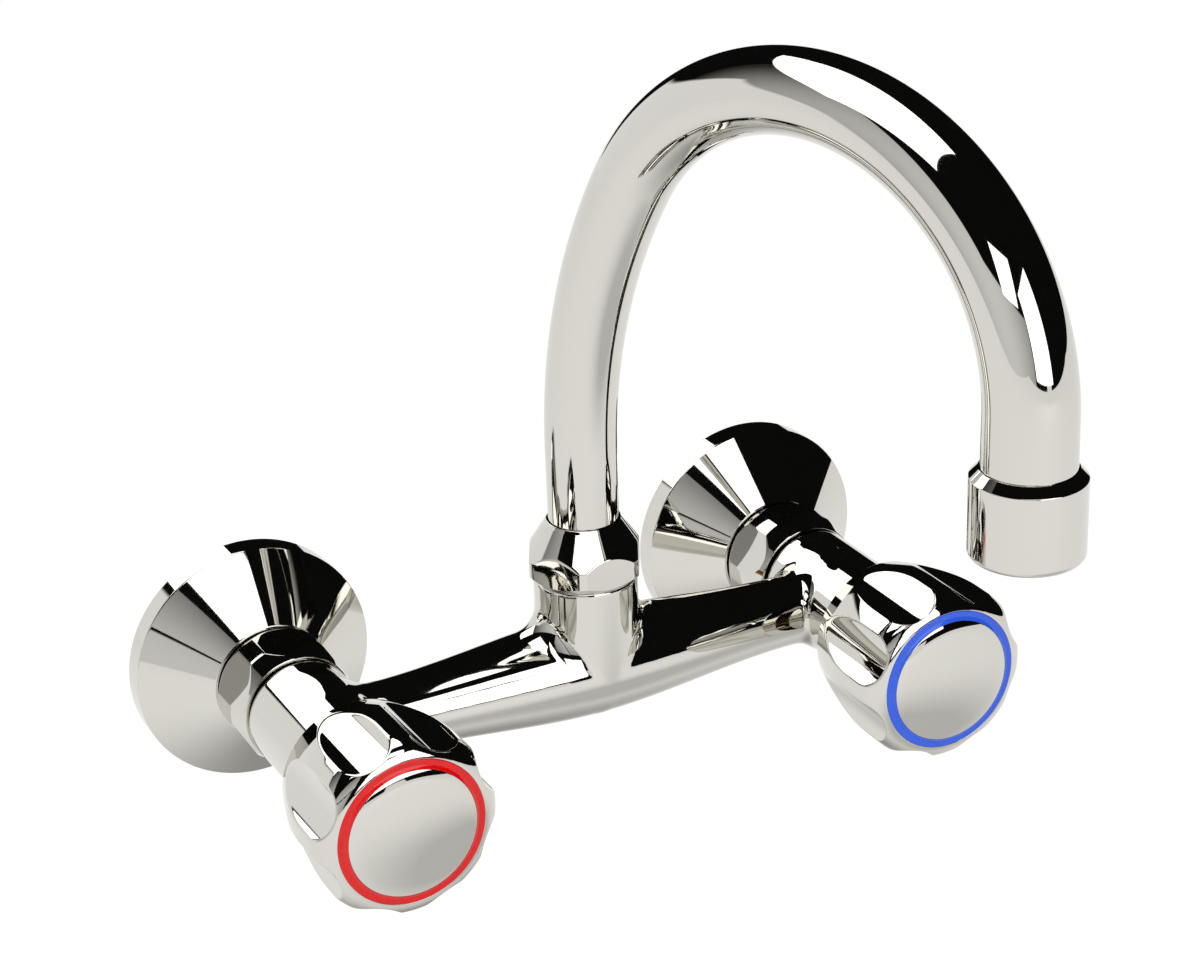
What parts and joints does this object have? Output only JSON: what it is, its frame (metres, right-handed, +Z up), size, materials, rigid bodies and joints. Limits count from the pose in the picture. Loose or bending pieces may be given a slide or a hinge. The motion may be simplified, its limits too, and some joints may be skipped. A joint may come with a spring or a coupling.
{
  "type": "wall-mounted sink mixer",
  "caption": "Wall-mounted kitchen mixer with turning hot and cold knobs, a bridge body and a tall swivelling swan-neck spout with an aerator",
  "frame": {"origin": "on the finished wall's face, midway between the two wall threads", "axes": "+X from the hot side to the cold side, +Y into the wall, +Z up"},
  "size_m": [0.2142, 0.2079, 0.2079],
  "materials": {
    "chrome": "polished chrome plate",
    "brass": "machined brass",
    "rubber": "moulded rubber or fibre",
    "white_plastic": "moulded acetal",
    "steel": "turned or pressed stainless steel",
    "hot_red": "glossy red plastic",
    "cold_blue": "glossy blue plastic"
  },
  "bodies": {
    "mixer": {"mixer_body": "chrome", "spout_nut": "chrome", "lower_glide_ring": "white_plastic", "upper_glide_ring": "white_plastic", "hot_wall_union": "brass", "hot_wall_plate": "chrome", "hot_inlet_gasket": "rubber", "hot_inlet_nipple": "brass", "hot_union_nut": "chrome", "hot_bonnet_gasket": "rubber", "hot_bonnet": "brass", "cold_wall_union": "brass", "cold_wall_plate": "chrome", "cold_inlet_gasket": "rubber", "cold_inlet_nipple": "brass", "cold_union_nut": "chrome", "cold_bonnet_gasket": "rubber", "cold_bonnet": "brass"},
    "hot_handle": {"hot_knob": "chrome", "hot_spindle": "steel", "hot_spindle_seal": "rubber", "hot_circlip": "steel", "hot_spline_insert": "white_plastic", "hot_knob_screw": "steel", "hot_index_ring": "hot_red", "hot_cap": "chrome"},
    "hot_plug": {"hot_valve_plug": "brass", "hot_plug_washer": "rubber", "hot_plug_screw": "brass"},
    "cold_handle": {"cold_knob": "chrome", "cold_spindle": "steel", "cold_spindle_seal": "rubber", "cold_circlip": "steel", "cold_spline_insert": "white_plastic", "cold_knob_screw": "steel", "cold_index_ring": "cold_blue", "cold_cap": "chrome"},
    "cold_plug": {"cold_valve_plug": "brass", "cold_plug_washer": "rubber", "cold_plug_screw": "brass"},
    "spout": {"spout_tube": "chrome", "spout_collar": "brass", "spout_seals": "rubber", "outlet_ferrule": "brass", "aerator_housing": "chrome", "aerator_washer": "rubber", "aerator_cartridge": "white_plastic", "aerator_diffuser": "white_plastic", "aerator_screen": "steel"}
  },
  "joints": [
    {"name": "hot_handle_turn", "type": "hinge", "parent": "mixer", "child": "hot_handle", "pos_m": [-0.075, -0.072, -0.005], "axis": [0, -1, 0], "range_deg": [0, 900]},
    {"name": "hot_plug_slide", "type": "slide", "parent": "mixer", "child": "hot_plug", "axis": [0, -1, 0], "range_m": [0, 0.005]},
    {"name": "cold_handle_turn", "type": "hinge", "parent": "mixer", "child": "cold_handle", "pos_m": [0.075, -0.072, -0.005], "axis": [0, -1, 0], "range_deg": [0, 900]},
    {"name": "cold_plug_slide", "type": "slide", "parent": "mixer", "child": "cold_plug", "axis": [0, -1, 0], "range_m": [0, 0.005]},
    {"name": "spout_swivel", "type": "hinge", "parent": "mixer", "child": "spout", "pos_m": [0, -0.0517, 0.03], "axis": [0, 0, 1], "range_deg": [-115, 75]}
  ],
  "couplings": [
    {"joint": "hot_plug_slide", "follows": "hot_handle_turn", "m_per_rad": 0.0003183},
    {"joint": "cold_plug_slide", "follows": "cold_handle_turn", "m_per_rad": 0.0003183}
  ]
}
